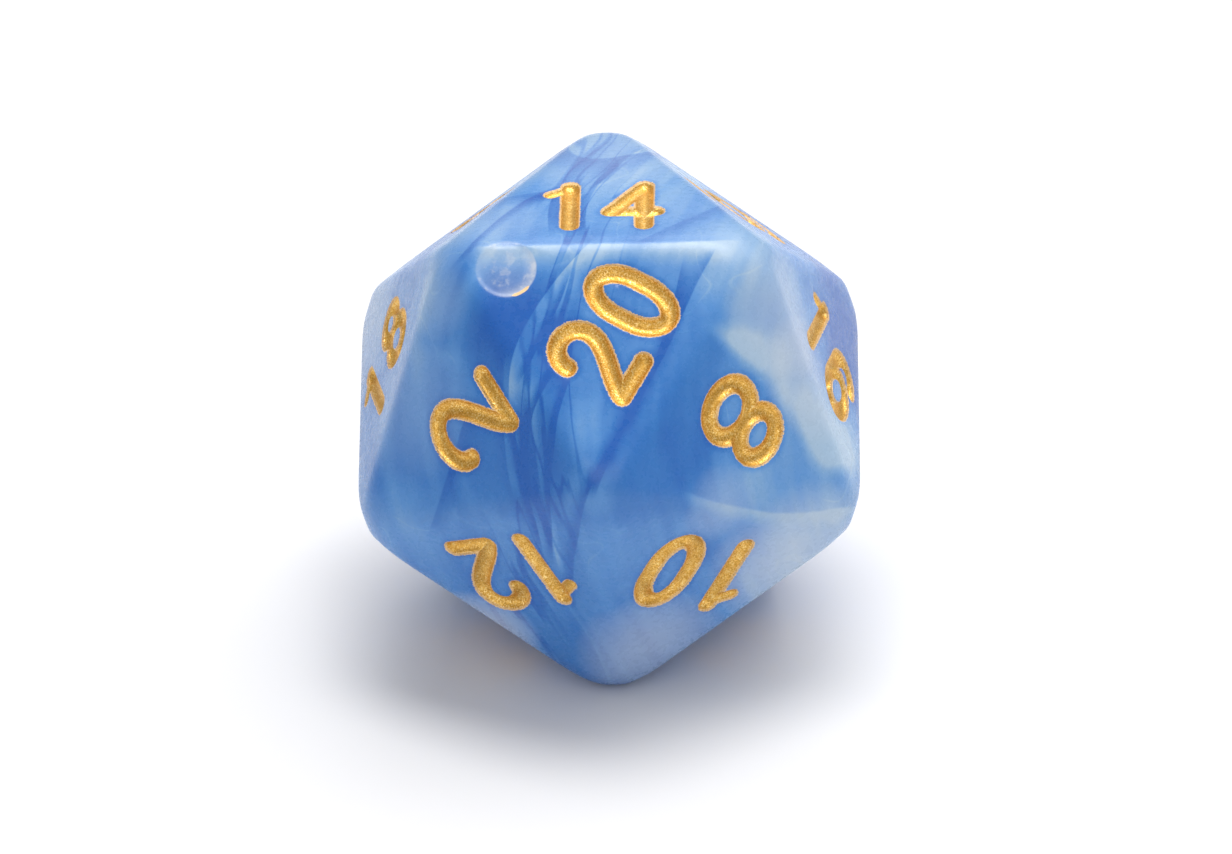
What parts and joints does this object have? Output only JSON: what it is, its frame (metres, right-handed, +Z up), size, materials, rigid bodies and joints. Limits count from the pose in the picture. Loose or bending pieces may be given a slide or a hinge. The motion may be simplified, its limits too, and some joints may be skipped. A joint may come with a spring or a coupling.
{
  "type": "polyhedral die",
  "caption": "Icosahedral gaming die of marbled pearl resin, with engraved numerals lined in gold paint.",
  "frame": {"origin": "centre of the face the die rests on", "axes": "+Z up, through the resting face and the face opposite it; -Y towards the lower corner of the 20's triangle"},
  "size_m": [0.0212, 0.0236, 0.02],
  "materials": {
    "marbled_resin": "polished pearl resin, blue and white swirls",
    "gold_paint": "metallic gold acrylic paint, dried in the grooves"
  },
  "bodies": {
    "root": {"body": "marbled_resin", "gold_1": "gold_paint", "gold_2": "gold_paint", "gold_3": "gold_paint", "gold_4": "gold_paint", "gold_5": "gold_paint", "gold_6": "gold_paint", "gold_6_underline": "gold_paint", "gold_7": "gold_paint", "gold_8": "gold_paint", "gold_9": "gold_paint", "gold_9_underline": "gold_paint", "gold_10_tens": "gold_paint", "gold_10_units": "gold_paint", "gold_11_tens": "gold_paint", "gold_11_units": "gold_paint", "gold_12_tens": "gold_paint", "gold_12_units": "gold_paint", "gold_13_tens": "gold_paint", "gold_13_units": "gold_paint", "gold_14_tens": "gold_paint", "gold_14_units": "gold_paint", "gold_15_tens": "gold_paint", "gold_15_units": "gold_paint", "gold_16_tens": "gold_paint", "gold_16_units": "gold_paint", "gold_17_tens": "gold_paint", "gold_17_units": "gold_paint", "gold_18_tens": "gold_paint", "gold_18_units": "gold_paint", "gold_19_tens": "gold_paint", "gold_19_units": "gold_paint", "gold_20_tens": "gold_paint", "gold_20_units": "gold_paint"}
  },
  "joints": []
}
